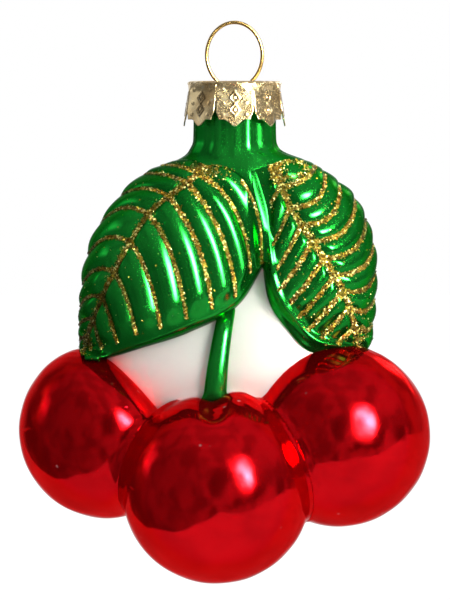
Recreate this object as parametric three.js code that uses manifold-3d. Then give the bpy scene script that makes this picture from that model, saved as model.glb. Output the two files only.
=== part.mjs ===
// A blown glass cherry cluster ornament: a lacquered glass body with two ribbed leaves and three
// cherries, glued glitter lines, a stamped cap with eight petals and a sprung wire hanger.
// Millimetres, +Z up, the front faces -Y. The origin is the inside top of the wire ring, where the
// ornament hangs. Outline points are written as [x, z] in the front view.

import * as THREE from 'three';
import { mergeVertices } from 'three/addons/utils/BufferGeometryUtils.js';
import Module from 'manifold-3d';

const wasm = await Module();
wasm.setup();

// Fits
const seatGap = 0.3;
const slotClearance = 0.3;

// Wire hanger
const wireDiameter = 0.65;
const ringHalfWidth = 5.0;
const ringHalfHeight = 5.9;
const ringShow = 10.2;
const legLength = 11.5;
const legSpread = 5.2;

// Stamped cap
const capWall = 0.35;
const capTopRadius = 8.3;
const capSkirtRadius = 9.3;
const capHeight = 6.9;
const capShoulder = 0.7;
const petalCount = 8;
const petalDrop = 1.2;
const petalPointShare = 0.75;
const petalPointSharpness = 1.3;
const slitStart = 2.0;
const slitTopWidth = 0.2;
const slitBottomWidth = 1.0;

// Glass
const glassWall = 0.9;
const neckRadius = 7.4;
const neckLength = 13.2;
const neckFlare = 1.3;
const neckFlareLength = 3.2;

// Leaf lobes: half widths seen from the front and how far the glass swells to the front, by height
const leftReach = [
  [-23, 8.4], [-24.4, 10.7], [-26.6, 15.6], [-30.9, 20.5], [-39.5, 25.7], [-51.4, 27.6], [-62, 27.5],
];
const rightReach = [
  [-23, 10.4], [-24.4, 13.0], [-26.6, 16.4], [-30.9, 21.3], [-39.5, 24.8], [-50.3, 25.0], [-60, 23.8],
];
const leftSwell = [[-23, 8.0], [-25, 9.3], [-31, 11.6], [-40, 13.6], [-50, 14.0], [-60, 12.5]];
const rightSwell = [[-23, 8.0], [-25, 9.3], [-31, 11.0], [-40, 12.6], [-48, 12.4], [-54, 9.6], [-60, 5.0]];
const valleyX = 4.6;
const valleyOverlap = 4.0;

// White body under the leaves
const bodyTop = -24.5;
const bodyBottom = -78;
const bodyRound = 2.3;
const bodySwell = [
  [-24, 7.2], [-30, 6.6], [-38, 6.4], [-44, 6.9], [-50, 8.4],
  [-58, 10.0], [-64, 10.3], [-71, 8.6], [-78, 3.6],
];
const bodyReach = [
  [-24, 7.2], [-26, 10.0], [-30, 17.5], [-38, 22.5], [-50, 24.0],
  [-58, 23.0], [-66, 19.0], [-72, 13.0], [-78, 5.0],
];

// Cherries
const leftCherry = { centre: [-22.9, 0, -73.0], radius: 15.9 };
const rightCherry = { centre: [18.7, -3.5, -73.8], radius: 16.4 };
const centreCherry = { centre: [-3.2, -13.0, -82.9], radius: 16.9 };
const dimpleAxis = [-0.05, 0.04, 1];
const dimpleDepth = 2.4;
const dimpleWidth = 0.24;
const lobeAxis = [0.32, -0.06, 1];
const lobeRise = 0.8;
const lobeWidth = 0.3;
const shoulderAxis = [0.75, 0, 0.66];
const shoulderDraw = 0.3;

// The tip of the right leaf and the foot of the stem keep to the top of their cherry
const rightTip = rightCherry.centre[2] + rightCherry.radius;
const centreTop = centreCherry.centre[2] + centreCherry.radius;

// Leaves
const leafWall = 1.2;
const ribHeight = 0.8;
const ribCount = 10;
const ribFadeAtMidrib = 0.2;
const ribFadeAtMargin = 0.15;
const ribTaper = 0.35;
const ribOuterLoss = 0.35;
const leafMarginRise = 0.25;
const leafSeamInset = 0.01;
const leafBlend = 0.8;
const veinStops = [-1, -0.95, -0.8, -0.5, -0.2, 0, 0.2, 0.5, 0.8, 1];
const leftLeafLines = {
  side: -1,
  midrib: [
    [-5.1, -25.5], [-8.4, -28.4], [-15.2, -34.1], [-21.3, -44.4], [-24.9, -52.8], [-26.9, -59.0],
  ],
  innerBend: [
    [8.6, -21.6], [-0.6, -37.0], [-10.2, -39.3], [-18.6, -48.0], [-24.2, -56.3], [-26.7, -59.7],
  ],
  innerEdge: [
    [4.1, -43.0], [0.3, -50.7], [-8.2, -55.2], [-17.0, -58.1], [-23.1, -60.0], [-26.6, -60.2],
  ],
  outerBend: [
    [-7.6, -23.6], [-12.3, -26.3], [-20.0, -30.9], [-25.1, -42.3], [-27.1, -52.7], [-27.6, -59.1],
  ],
  outerEdge: [-24.6, -26.9, -35.9, -47.1, -54.1, -59.5],
};
const rightLeafLines = {
  side: 1,
  midrib: [
    [6.6, -25.3], [9.8, -32.9], [13.8, -38.8], [17.6, -44.9], [20.4, -50.7], [22.2, rightTip + 0.2],
  ],
  innerBend: [
    [5.8, -25.2], [9.0, -36.3], [11.4, -43.7], [14.3, -50.0], [17.2, -54.1], [21.1, rightTip - 0.8],
  ],
  innerEdge: [
    [4.9, -26.8], [5.3, -42.8], [6.6, -49.4], [9.1, -53.7], [13.2, rightTip], [19.9, rightTip - 0.6],
  ],
  outerBend: [
    [9.8, -23.6], [16.8, -32.7], [21.1, -38.8], [24.6, -44.7], [23.7, -52.8], [24.0, rightTip - 0.6],
  ],
  outerEdge: [-24.6, -26.2, -31.2, -39.0, -49.2, rightTip - 0.2],
};

// Glitter lines
const glitterWidth = 1.1;
const glitterThickness = 0.5;
const glitterRise = 1.15;
const glitterReach = 0.9;
const midribGlitterStart = 0.03;
const midribGlitterEnd = 0.89;

// Stem of the centre cherry, from the edge of the left leaf to the dimple
const stemTop = [-2.1, -54.6];
const stemBend = [-3.0, -60.0];
const stemFootDrop = 0.6;
const stemFoot = [-3.5, centreTop - stemFootDrop];
const stemTopHalfWidth = 1.5;
const stemFootHalfWidth = 2.0;
const stemHalfDepth = 1.4;

// Lacquer and metal
const colours = {
  red: { color: 0x9c0414, roughness: 0.08, metalness: 0.9 },
  green: { color: 0x05702a, roughness: 0.12, metalness: 0.85 },
  white: { color: 0xf2f0ea, roughness: 0.35, metalness: 0.1 },
  glitter: { color: 0xa28c44, roughness: 0.5, metalness: 0.8 },
  cap: { color: 0xd6bd88, roughness: 0.35, metalness: 0.95 },
  wire: { color: 0xc9a35a, roughness: 0.25, metalness: 1.0 },
};

const ornament = new THREE.Group();

function addPiece(name, geometry, finish) {
  const piece = new THREE.Mesh(geometry, new THREE.MeshStandardMaterial(finish));
  piece.name = name;
  ornament.add(piece);
}

// A smooth curve through [key, value] pairs whose keys all rise or all fall
function smoothValue(pairs, key) {
  const rising = pairs[1][0] > pairs[0][0];
  const points = rising ? pairs : [...pairs].reverse();
  const last = points.length - 1;
  const at = THREE.MathUtils.clamp(key, points[0][0], points[last][0]);
  let i = 0;
  while (i < last - 1 && at > points[i + 1][0]) i += 1;
  const slope = (j) => {
    const a = points[Math.max(j - 1, 0)];
    const b = points[Math.min(j + 1, last)];
    return (b[1] - a[1]) / (b[0] - a[0]);
  };
  const span = points[i + 1][0] - points[i][0];
  const t = (at - points[i][0]) / span;
  const t2 = t * t;
  const t3 = t2 * t;
  return (2 * t3 - 3 * t2 + 1) * points[i][1] + (t3 - 2 * t2 + t) * span * slope(i)
    + (3 * t2 - 2 * t3) * points[i + 1][1] + (t3 - t2) * span * slope(i + 1);
}

// The same through evenly spaced values, for a share from 0 to 1
function smoothAlong(values, share) {
  return smoothValue(values.map((value, i) => [i / (values.length - 1), value]), share);
}

function smoothPoint(points, share) {
  return [smoothAlong(points.map((p) => p[0]), share), smoothAlong(points.map((p) => p[1]), share)];
}

// The larger of two depths, with a smooth change from one to the other
function softMax(a, b) {
  return (a + b + Math.sqrt((a - b) ** 2 + leafBlend ** 2)) / 2;
}

// Half a leaf lobe's section at one height: its middle, half width and swell to the front
function lobe(side, z) {
  const reach = smoothValue(side < 0 ? leftReach : rightReach, z);
  const halfWidth = (reach - side * valleyX + valleyOverlap) / 2;
  const middle = side * (reach - halfWidth);
  return { middle, halfWidth, swell: smoothValue(side < 0 ? leftSwell : rightSwell, z) };
}

function lobeDepth(side, x, z) {
  const { middle, halfWidth, swell } = lobe(side, z);
  return swell * Math.sqrt(Math.max(0, 1 - ((x - middle) / halfWidth) ** 2));
}

function bodyMiddle(z) {
  return (smoothValue(rightReach, z) - smoothValue(leftReach, z)) / 2;
}

function bodyDepth(x, z) {
  const share = Math.abs(x - bodyMiddle(z)) / smoothValue(bodyReach, z);
  return smoothValue(bodySwell, z) * Math.max(0, 1 - share ** bodyRound) ** (1 / bodyRound);
}

function cherryDepth({ centre, radius }, x, z) {
  const inside = radius ** 2 - (x - centre[0]) ** 2 - (z - centre[2]) ** 2;
  return inside > 0 ? Math.sqrt(inside) : -radius;
}

// How far the leaf's bare surface lies in front of the mould seam: on its lobe, and lifted clear of
// the body and of the cherry that its tip drapes over
function leafDepth(side, x, z) {
  const lift = leafWall + seatGap;
  const onLobe = lobeDepth(side, x, z);
  const body = bodyDepth(x, z);
  const overBody = body > 0 ? body + lift : -lift;
  const cherry = side < 0 ? cherryDepth(leftCherry, x, z) + lift : -lift;
  const edge = Math.min(1, onLobe / lift);
  return onLobe + (softMax(softMax(onLobe, overBody), cherry) - onLobe) * edge;
}

// Veins run from the midrib past a bend to the leaf's edge: along counts them from base to tip, and
// across goes from -1 at the outer edge, on the mould seam, past 0 at the midrib to 1 at the inner edge
function leafFlatPoint(lines, along, across) {
  const start = smoothPoint(lines.midrib, along);
  const outer = across < 0;
  const bend = smoothPoint(outer ? lines.outerBend : lines.innerBend, along);
  let end = smoothPoint(lines.innerEdge, along);
  if (outer) {
    const z = smoothAlong(lines.outerEdge, along);
    end = [lines.side * smoothValue(lines.side < 0 ? leftReach : rightReach, z), z];
  }
  const t = Math.abs(across);
  const u = 1 - t;
  return [0, 1].map((i) => u * u * start[i] + 2 * u * t * bend[i] + t * t * end[i]);
}

// How far the ribs stand up between the veins
function ribRelief(along, across) {
  const t = Math.abs(across);
  const atMidrib = Math.min(1, t / ribFadeAtMidrib);
  const atMargin = across < 0 ? 1 : Math.min(1, (1 - t) / ribFadeAtMargin);
  const atTip = Math.min(1, (1 - along) / ribTaper);
  const atSeam = across < 0 ? 1 - ribOuterLoss * t : 1;
  return ribHeight * atMidrib * atMargin * atTip * atSeam * Math.abs(Math.sin(Math.PI * ribCount * along));
}

// A point of the leaf's surface at a height over its bare surface
function leafPoint(lines, along, across, height, facing) {
  const [flatX, z] = leafFlatPoint(lines, along, across);
  const { middle, halfWidth, swell } = lobe(lines.side, z);
  const limit = halfWidth - leafSeamInset;
  const x = middle + THREE.MathUtils.clamp(flatX - middle, -limit, limit);
  const depth = leafDepth(lines.side, x, z);
  const outward = new THREE.Vector2((x - middle) / halfWidth, -depth / swell).normalize();
  const y = Math.min(-depth + outward.y * height, -seatGap / 2);
  return new THREE.Vector3(x + outward.x * height, y * facing, z);
}

// A closed solid between an outer and an inner grid of points with the same rows and columns
function solidFromGrids(outer, inner, flip, wrap) {
  const rows = outer.length;
  const columns = outer[0].length;
  const points = [...outer.flat(), ...inner.flat()];
  const at = (i, j) => i * columns + (j % columns);
  const under = (i, j) => rows * columns + at(i, j);
  const faces = [];
  const quad = (a, b, c, d) => {
    if (flip) faces.push(a, c, b, a, d, c);
    else faces.push(a, b, c, a, c, d);
  };
  const lastColumn = wrap ? columns : columns - 1;
  for (let i = 0; i < rows - 1; i += 1) {
    for (let j = 0; j < lastColumn; j += 1) {
      quad(at(i, j), at(i + 1, j), at(i + 1, j + 1), at(i, j + 1));
      quad(under(i, j), under(i, j + 1), under(i + 1, j + 1), under(i + 1, j));
    }
  }
  for (let j = 0; j < lastColumn; j += 1) {
    const end = rows - 1;
    quad(at(0, j), at(0, j + 1), under(0, j + 1), under(0, j));
    quad(at(end, j + 1), at(end, j), under(end, j), under(end, j + 1));
  }
  for (let i = 0; i < rows - 1 && !wrap; i += 1) {
    const end = columns - 1;
    quad(at(i + 1, 0), at(i, 0), under(i, 0), under(i + 1, 0));
    quad(at(i, end), at(i + 1, end), under(i + 1, end), under(i, end));
  }
  const geometry = new THREE.BufferGeometry();
  const coordinates = points.flatMap((p) => [p.x, p.y, p.z]);
  geometry.setAttribute('position', new THREE.Float32BufferAttribute(coordinates, 3));
  geometry.setIndex(faces);
  return geometry;
}

function toSolid(geometry) {
  const bare = geometry.clone();
  bare.deleteAttribute('normal');
  bare.deleteAttribute('uv');
  const merged = mergeVertices(bare, 1e-3);
  return new wasm.Manifold(new wasm.Mesh({
    numProp: 3,
    vertProperties: new Float32Array(merged.attributes.position.array),
    triVerts: new Uint32Array(merged.index.array),
  }));
}

function toGeometry(solid) {
  const mesh = solid.getMesh();
  const geometry = new THREE.BufferGeometry();
  geometry.setAttribute('position', new THREE.BufferAttribute(mesh.vertProperties, 3));
  geometry.setIndex(new THREE.BufferAttribute(mesh.triVerts, 1));
  return geometry;
}

function turnUp(geometry) {
  return geometry.rotateX(Math.PI / 2);
}

// The angle round the ring, from its top, at which it meets the cap
function slotAngle() {
  return Math.acos((-ringShow - (wireDiameter / 2 - ringHalfHeight)) / ringHalfHeight);
}

function ringPoint(angle) {
  const centre = wireDiameter / 2 - ringHalfHeight;
  return new THREE.Vector3(ringHalfWidth * Math.sin(angle), 0, centre + ringHalfHeight * Math.cos(angle));
}

// The ring, the two legs through the cap's slots and their spread ends inside the neck
function hangerWire() {
  const capTop = -ringShow;
  const steps = 12;
  const half = [];
  for (let i = 0; i <= steps; i += 1) {
    half.push(ringPoint((slotAngle() * i) / steps));
  }
  const slotX = half[steps].x;
  half.push(new THREE.Vector3(slotX, 0, capTop - capWall - wireDiameter));
  half.push(new THREE.Vector3((slotX + legSpread) / 2, 0, capTop - legLength / 2));
  half.push(new THREE.Vector3(legSpread, 0, capTop - legLength));
  const otherHalf = half.slice(1).map((p) => new THREE.Vector3(-p.x, p.y, p.z)).reverse();
  const path = new THREE.CatmullRomCurve3([...otherHalf, ...half], false, 'centripetal');
  const section = new THREE.Shape().absarc(0, 0, wireDiameter / 2, 0, Math.PI * 2);
  return new THREE.ExtrudeGeometry(section, {
    steps: 44,
    extrudePath: path,
    bevelEnabled: false,
    curveSegments: 4,
  });
}

// A petal's lower edge: straight sides that sweep down to a point in its middle
function petalEdge(angle) {
  const pitch = (Math.PI * 2) / petalCount;
  const share = Math.abs(((angle / pitch + 0.5) % 1) - 0.5) * 2;
  return petalDrop * (1 - THREE.MathUtils.smoothstep(share, 0, petalPointShare)) ** petalPointSharpness;
}

// A flat top, a rounded shoulder and a skirt that widens to the petals, moved in by a wall
function capProfile(inward) {
  const bendInward = inward * Math.tan(Math.PI / 8);
  const shoulderZ = -ringShow - capShoulder;
  const skirtZ = -ringShow - capHeight;
  return [
    [0, -ringShow - inward],
    [capTopRadius - capShoulder - bendInward, -ringShow - inward],
    [capTopRadius - inward, shoulderZ - bendInward],
    [(capTopRadius + capSkirtRadius) / 2 - inward, (shoulderZ + skirtZ) / 2],
    [capSkirtRadius - inward, skirtZ],
  ];
}

function capShell() {
  const sides = 48;
  const outline = [...capProfile(0), ...capProfile(capWall).reverse()].reverse();
  const geometry = turnUp(new THREE.LatheGeometry(outline.map(([r, z]) => new THREE.Vector2(r, z)), sides));
  const place = geometry.attributes.position;
  const rimZ = -ringShow - capHeight + capWall / 10;
  for (let i = 0; i < place.count; i += 1) {
    if (place.getZ(i) < rimZ) {
      const angle = Math.atan2(place.getX(i), -place.getY(i)) + Math.PI * 2;
      place.setZ(i, place.getZ(i) - petalEdge(angle));
    }
  }
  return toSolid(geometry);
}

function slitCutter(angle) {
  const bottom = capHeight + petalDrop;
  const outline = new THREE.Shape();
  outline.moveTo(-slitTopWidth / 2, -slitStart);
  outline.lineTo(slitTopWidth / 2, -slitStart);
  outline.lineTo(slitBottomWidth / 2, -bottom);
  outline.lineTo(-slitBottomWidth / 2, -bottom);
  const cutter = new THREE.ExtrudeGeometry(outline, { depth: capSkirtRadius, bevelEnabled: false });
  turnUp(cutter);
  cutter.translate(0, -capTopRadius / 2, -ringShow);
  cutter.rotateZ(angle);
  return toSolid(cutter);
}

function crownCap() {
  let cap = capShell();
  for (let i = 0; i < petalCount; i += 1) {
    cap = cap.subtract(slitCutter(((i + 0.5) * Math.PI * 2) / petalCount));
  }
  const slotLength = wireDiameter * 2 + slotClearance * 2;
  const slotWidth = wireDiameter + slotClearance * 2;
  const cutterHeight = 6 * capWall;
  for (const side of [-1, 1]) {
    const slot = new THREE.BoxGeometry(slotLength, slotWidth, cutterHeight);
    slot.translate(side * ringPoint(slotAngle()).x, 0, -ringShow);
    cap = cap.subtract(toSolid(slot));
  }
  return toGeometry(cap);
}

function glassNeck() {
  const top = -ringShow - capWall - seatGap;
  const bottom = top - neckLength;
  const outside = [[neckRadius, top], [neckRadius, bottom + neckFlareLength]];
  const flareSteps = 4;
  for (let i = 1; i <= flareSteps; i += 1) {
    const angle = ((Math.PI / 2) * i) / flareSteps;
    outside.push([
      neckRadius + neckFlare * (1 - Math.cos(angle)),
      bottom + neckFlareLength * (1 - Math.sin(angle)),
    ]);
  }
  const inside = outside.map(([r, z]) => [r - glassWall, z]).reverse();
  const outline = [...outside, ...inside, outside[0]].map(([r, z]) => new THREE.Vector2(r, z)).reverse();
  return turnUp(new THREE.LatheGeometry(outline, 28));
}

function cherryBall({ centre, radius }, grow, fine) {
  const ball = new THREE.SphereGeometry(radius + grow, fine ? 24 : 14, fine ? 15 : 9);
  turnUp(ball);
  ball.translate(...centre);
  return ball;
}

// The centre cherry's ball is drawn in where its stem meets it, and swells out beside that
function pressDimple(ball) {
  const centre = new THREE.Vector3(...centreCherry.centre);
  const point = new THREE.Vector3();
  const place = ball.attributes.position;
  const move = (direction, rise, width) => {
    const axis = new THREE.Vector3(...direction).normalize();
    const share = Math.exp(-((point.angleTo(axis) / width) ** 2));
    return axis.multiplyScalar(rise * share);
  };
  for (let i = 0; i < place.count; i += 1) {
    point.fromBufferAttribute(place, i).sub(centre);
    const dimple = move(dimpleAxis, -dimpleDepth, dimpleWidth);
    const swelling = move(lobeAxis, lobeRise, lobeWidth);
    point.add(dimple).add(swelling).add(centre);
    place.setXYZ(i, point.x, point.y, point.z);
  }
  return ball;
}

// The left cherry's ball is drawn in towards the leaves, where it is narrower than a ball
function pressShoulder(ball) {
  const centre = new THREE.Vector3(...leftCherry.centre);
  const axis = new THREE.Vector3(...shoulderAxis).normalize();
  const point = new THREE.Vector3();
  const place = ball.attributes.position;
  for (let i = 0; i < place.count; i += 1) {
    point.fromBufferAttribute(place, i).sub(centre);
    const towards = Math.max(0, point.dot(axis));
    point.addScaledVector(axis, -shoulderDraw * towards ** 2 / leftCherry.radius).add(centre);
    place.setXYZ(i, point.x, point.y, point.z);
  }
  return ball;
}

// A cherry's ball in its own shape, larger or smaller by a margin
function cherryForm(own, grow, fine) {
  const ball = cherryBall(own, grow, fine);
  if (own === centreCherry) return pressDimple(ball);
  if (own === leftCherry) return pressShoulder(ball);
  return ball;
}

// A block that holds everything past the joint of two cherries, on the second one's side
function blockPastJoint(first, second) {
  const a = new THREE.Vector3(...first.centre);
  const b = new THREE.Vector3(...second.centre);
  const distance = a.distanceTo(b);
  const toJoint = (distance ** 2 + first.radius ** 2 - second.radius ** 2) / (2 * distance);
  const direction = b.clone().sub(a).normalize();
  const size = 4 * second.radius;
  const block = new THREE.BoxGeometry(size, size, size);
  block.translate(0, 0, size / 2 + toJoint - seatGap / 2);
  block.applyQuaternion(new THREE.Quaternion().setFromUnitVectors(new THREE.Vector3(0, 0, 1), direction));
  block.translate(a.x, a.y, a.z);
  return toSolid(block);
}

function cherry(own, neighbours) {
  const outside = toSolid(cherryForm(own, 0, true));
  const inside = toSolid(cherryForm(own, -glassWall, false));
  let shell = outside.subtract(inside);
  for (const other of neighbours) shell = shell.subtract(blockPastJoint(own, other));
  return toGeometry(shell);
}

// The white glass under the leaves, open to the neck above and to the cherries below
function whiteBody() {
  const levels = 9;
  const sides = 24;
  const levelCrowding = 1.15;
  const grid = (wall) => {
    const rows = [];
    for (let i = 0; i <= levels; i += 1) {
      const z = THREE.MathUtils.lerp(bodyTop, bodyBottom, (i / levels) ** levelCrowding);
      const row = [];
      for (let j = 0; j < sides; j += 1) {
        const angle = (j / sides) * Math.PI * 2;
        const reach = smoothValue(bodyReach, z) - wall;
        const swell = smoothValue(bodySwell, z) - wall;
        const round = (value) => Math.sign(value) * Math.abs(value) ** (2 / bodyRound);
        row.push(new THREE.Vector3(
          bodyMiddle(z) + reach * round(Math.cos(angle)),
          swell * round(Math.sin(angle)),
          z,
        ));
      }
      rows.push(row);
    }
    return rows;
  };
  let body = toSolid(solidFromGrids(grid(0), grid(glassWall), false, true));
  for (const ball of [leftCherry, centreCherry, rightCherry]) {
    const form = ball === centreCherry ? cherryBall : cherryForm;
    body = body.subtract(toSolid(form(ball, seatGap, true)));
  }
  return toGeometry(body);
}

// A leaf's shell, with its outer side raised by a margin where it serves as a cutter
function leaf(lines, facing, margin = 0) {
  const rows = ribCount * 2;
  const grid = (height, relief) => {
    const points = [];
    for (let i = 0; i <= rows; i += 1) {
      const along = i / rows;
      points.push(veinStops.map((across) => leafPoint(
        lines,
        along,
        across,
        height + relief * ribRelief(along, across) + leafMarginRise * (relief - 1),
        facing,
      )));
    }
    return points;
  };
  const outer = grid(margin, 1);
  const inner = grid(leafMarginRise - leafWall, 0);
  const shell = solidFromGrids(outer, inner, lines.side * facing > 0, false);
  const ball = lines.side < 0 ? leftCherry : rightCherry;
  return toSolid(shell).subtract(toSolid(cherryForm(ball, seatGap, true)));
}

// One glued line along a vein or the midrib, as a low bar over the leaf's groove
function glitterBar(lines, facing, vein) {
  const steps = 4;
  const centres = [];
  for (let i = 0; i <= steps; i += 1) {
    const [along, across] = vein(i / steps);
    centres.push(leafPoint(lines, along, across, glitterRise, facing));
  }
  const outer = [];
  const inner = [];
  centres.forEach((centre, i) => {
    const tangent = centres[Math.min(i + 1, steps)].clone().sub(centres[Math.max(i - 1, 0)]).normalize();
    const { middle, halfWidth, swell } = lobe(lines.side, centre.z);
    const outward = new THREE.Vector3((centre.x - middle) / halfWidth, centre.y / swell, 0).normalize();
    const sideways = new THREE.Vector3().crossVectors(outward, tangent).normalize();
    const corner = (side, height) => centre.clone()
      .addScaledVector(sideways, (side * glitterWidth) / 2)
      .addScaledVector(outward, (height * glitterThickness) / 2);
    outer.push([corner(-1, 1), corner(1, 1)]);
    inner.push([corner(-1, -1), corner(1, -1)]);
  });
  return toSolid(solidFromGrids(outer, inner, false, false));
}

function glitterNetwork(lines, facing) {
  let network = glitterBar(lines, facing, (share) => [
    THREE.MathUtils.lerp(midribGlitterStart, midribGlitterEnd, share),
    0,
  ]);
  for (let i = 1; i < ribCount; i += 1) {
    const along = i / ribCount;
    for (const side of [-1, 1]) {
      network = network.add(glitterBar(lines, facing, (share) => [along, side * share * glitterReach]));
    }
  }
  return toGeometry(network.subtract(leaf(lines, facing, seatGap)));
}

// The stem lies on the white body and ends in the dimple of the centre cherry
function centreStem() {
  const rings = 7;
  const profile = [new THREE.Vector2(0, 0)];
  for (let i = 0; i <= rings; i += 1) {
    const share = i / rings;
    profile.push(new THREE.Vector2(THREE.MathUtils.lerp(stemFootHalfWidth, stemTopHalfWidth, share), share));
  }
  profile.push(new THREE.Vector2(0, 1));
  const stem = turnUp(new THREE.LatheGeometry(profile, 12));
  const line = new THREE.QuadraticBezierCurve(
    new THREE.Vector2(...stemFoot),
    new THREE.Vector2(...stemBend),
    new THREE.Vector2(...stemTop),
  );
  const place = stem.attributes.position;
  for (let i = 0; i < place.count; i += 1) {
    const [x, z] = line.getPoint(place.getZ(i)).toArray();
    const depth = bodyDepth(x, z) + seatGap + stemHalfDepth;
    const flatten = stemHalfDepth / stemFootHalfWidth;
    place.setXYZ(i, x + place.getX(i), place.getY(i) * flatten - depth, z);
  }
  return stem;
}

addPiece('hanger_wire', hangerWire(), colours.wire);
addPiece('crown_cap', crownCap(), colours.cap);
addPiece('glass_neck', glassNeck(), colours.green);
addPiece('white_body', whiteBody(), colours.white);
addPiece('centre_stem', centreStem(), colours.green);
for (const [face, facing] of [['front', 1], ['back', -1]]) {
  addPiece(`left_leaf_${face}`, toGeometry(leaf(leftLeafLines, facing)), colours.green);
  addPiece(`right_leaf_${face}`, toGeometry(leaf(rightLeafLines, facing)), colours.green);
  addPiece(`left_glitter_${face}`, glitterNetwork(leftLeafLines, facing), colours.glitter);
  addPiece(`right_glitter_${face}`, glitterNetwork(rightLeafLines, facing), colours.glitter);
}
addPiece('left_cherry', cherry(leftCherry, [centreCherry]), colours.red);
addPiece('centre_cherry', cherry(centreCherry, [leftCherry, rightCherry]), colours.red);
addPiece('right_cherry', cherry(rightCherry, [centreCherry]), colours.red);

export default ornament;
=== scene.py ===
import math
import numpy as np
import bpy
import bmesh
from mathutils import Matrix, Vector


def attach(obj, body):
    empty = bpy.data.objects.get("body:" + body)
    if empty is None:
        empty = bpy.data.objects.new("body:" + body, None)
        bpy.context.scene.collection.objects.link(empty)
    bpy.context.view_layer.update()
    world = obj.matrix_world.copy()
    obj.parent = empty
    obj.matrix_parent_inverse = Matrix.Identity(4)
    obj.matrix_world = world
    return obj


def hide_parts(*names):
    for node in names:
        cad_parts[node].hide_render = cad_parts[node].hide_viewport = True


# A blown glass cherry cluster ornament. Sizes in this file are millimetres until a mesh is finished,
# when it is scaled to metres. Outline points are (x, z) in the front view, and curves by height are lists
# of (z, value).
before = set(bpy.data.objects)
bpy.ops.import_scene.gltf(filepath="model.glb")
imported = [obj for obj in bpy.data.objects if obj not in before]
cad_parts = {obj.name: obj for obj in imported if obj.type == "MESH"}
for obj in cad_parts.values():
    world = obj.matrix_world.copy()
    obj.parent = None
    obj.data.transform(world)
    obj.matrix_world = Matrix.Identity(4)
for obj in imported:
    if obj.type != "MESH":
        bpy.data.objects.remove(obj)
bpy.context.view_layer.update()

MM = 0.001
chance = np.random.default_rng(41)

# Hanger wire and stamped cap
WIRE_RADIUS = 0.325
RING_HALF_WIDTH = 5.0
RING_HALF_HEIGHT = 5.9
RING_SHOW = 10.2
LEG_LENGTH = 11.5
LEG_SPREAD = 5.2
CAP_TOP_RADIUS = 8.3
CAP_SKIRT_RADIUS = 9.3
CAP_HEIGHT = 6.9
CAP_SHOULDER = 0.7
CAP_WALL = 0.25
PETAL_COUNT = 8
PETAL_DROP = 1.2
LOZENGES = (3.0, 5.2)
LOZENGE_HALF_WIDTH = 0.95
LOZENGE_HALF_HEIGHT = 1.1

# Glass
GLASS_WALL = 0.9
NECK_TOP = -10.85
SHOULDER_BOTTOM = -42.5
SHOULDER_WIDE = [(-42.5, 7.6), (-33, 9.5), (-29, 13.5), (-25.6, 13.7), (-24.4, 11.5), (-23.3, 9.1),
                 (-22.4, 8.0), (-20.9, 7.4), (-10.8, 7.4)]
SHOULDER_DEEP = [(-42.5, 6.2), (-36, 6.8), (-30, 8.0), (-27, 9.2), (-25.6, 8.8), (-24.4, 8.2), (-22.4, 7.6),
                 (-20.9, 7.4), (-10.8, 7.4)]
STRIP_LINE = [(-46, 8.4), (-41.3, 6.4), (-37.9, 5.3), (-33.3, 4.2), (-29.5, 3.1), (-25.7, 1.9)]
STRIP_TOP = [(-47, 9.0), (-44, 12.2), (-41, 12.6), (-38, 12.1), (-33, 11.1), (-29, 10.1), (-26.4, 9.3),
             (-24.6, 7.8), (-23, 5.0)]
STRIP_ROUND = 1.8
STRIP_OVER_NECK = 0.3
LEFT_REACH = [(-23, 8.4), (-24.4, 10.7), (-26.6, 15.6), (-30.9, 20.5), (-39.5, 25.7), (-51.4, 27.6),
              (-62, 27.5)]
RIGHT_REACH = [(-23, 10.4), (-24.4, 13.0), (-26.6, 16.4), (-30.9, 21.3), (-39.5, 24.8), (-50.3, 25.0),
               (-60, 23.8)]
LEFT_SWELL = [(-23, 8.0), (-25, 9.3), (-31, 11.6), (-40, 13.6), (-50, 14.0), (-60, 12.5)]
RIGHT_SWELL = [(-23, 8.0), (-25, 9.3), (-31, 11.0), (-40, 12.6), (-48, 12.4), (-54, 9.6), (-60, 5.0)]
VALLEY_X = 4.6
VALLEY_OVERLAP = 4.0
LOBE_ROUND = 2.0
RIGHT_INNER_ROUND = 2.45
BODY_TOP = -24.5
BODY_BOTTOM = -78.0
BODY_SWELL = [(-24, 7.2), (-30, 6.6), (-38, 6.4), (-44, 6.9), (-50, 8.4), (-58, 10.0), (-64, 10.3),
              (-71, 8.6), (-78, 3.6)]
BODY_REACH = [(-24, 7.2), (-26, 10.0), (-30, 17.5), (-38, 22.5), (-50, 24.0), (-58, 23.0), (-66, 19.0),
              (-72, 13.0), (-78, 5.0)]
BODY_ROUND = 2.3
BODY_WEB_WIDTH = 2.0
BODY_WEB_HEIGHT = 0.5

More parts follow.
